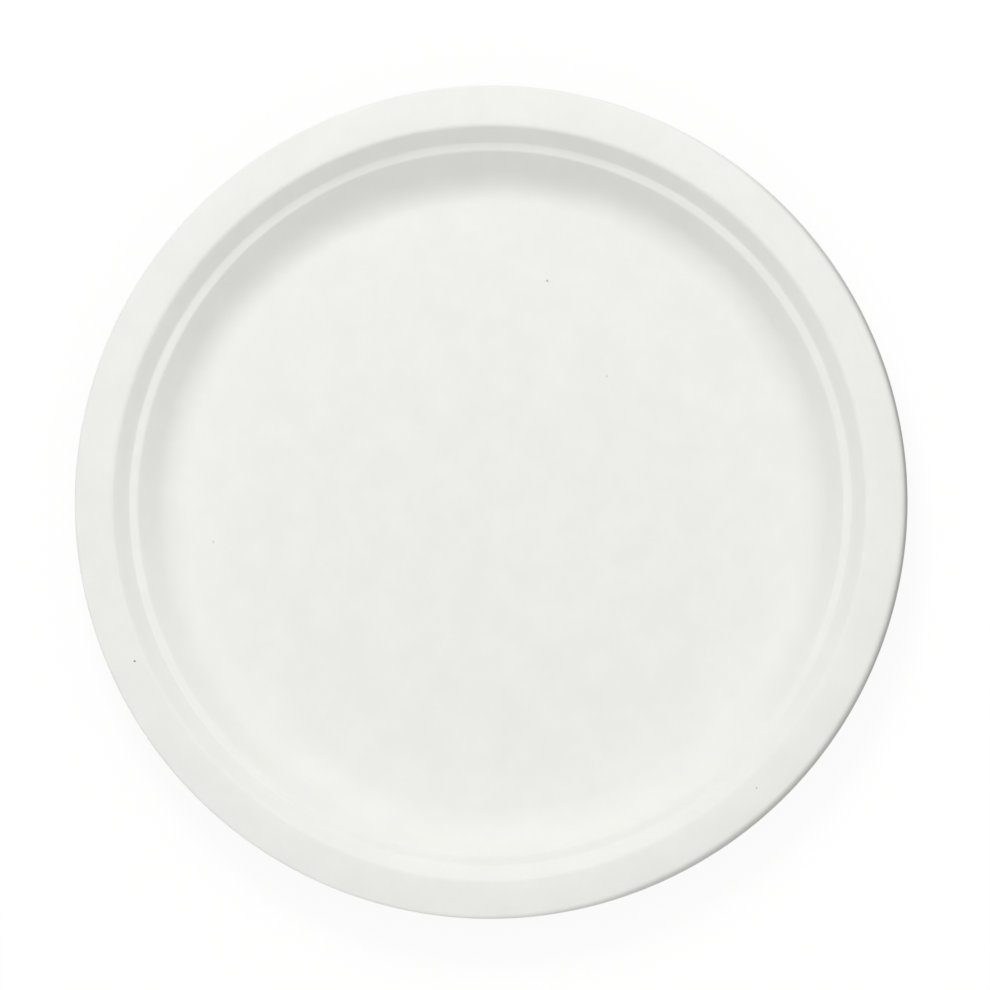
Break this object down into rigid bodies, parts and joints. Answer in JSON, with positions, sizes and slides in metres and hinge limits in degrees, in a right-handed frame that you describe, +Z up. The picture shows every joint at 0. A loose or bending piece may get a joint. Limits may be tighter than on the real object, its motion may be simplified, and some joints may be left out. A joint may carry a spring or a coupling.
{
  "type": "paper plate",
  "caption": "Round disposable plate of pressed plant fibre, one thin wall with a flat base, dished side, nesting ledge, stepped brim and turned-down lip.",
  "frame": {"origin": "centre of the plate, on the table that its base ring stands on", "axes": "+Z up, along the plate's axis of revolution, out of the dish; +X to the right and +Y to the top of the picture"},
  "size_m": [0.26, 0.26, 0.02],
  "materials": {
    "moulded_fibre": "matte"
  },
  "bodies": {
    "root": {"plate": "moulded_fibre"}
  },
  "joints": []
}
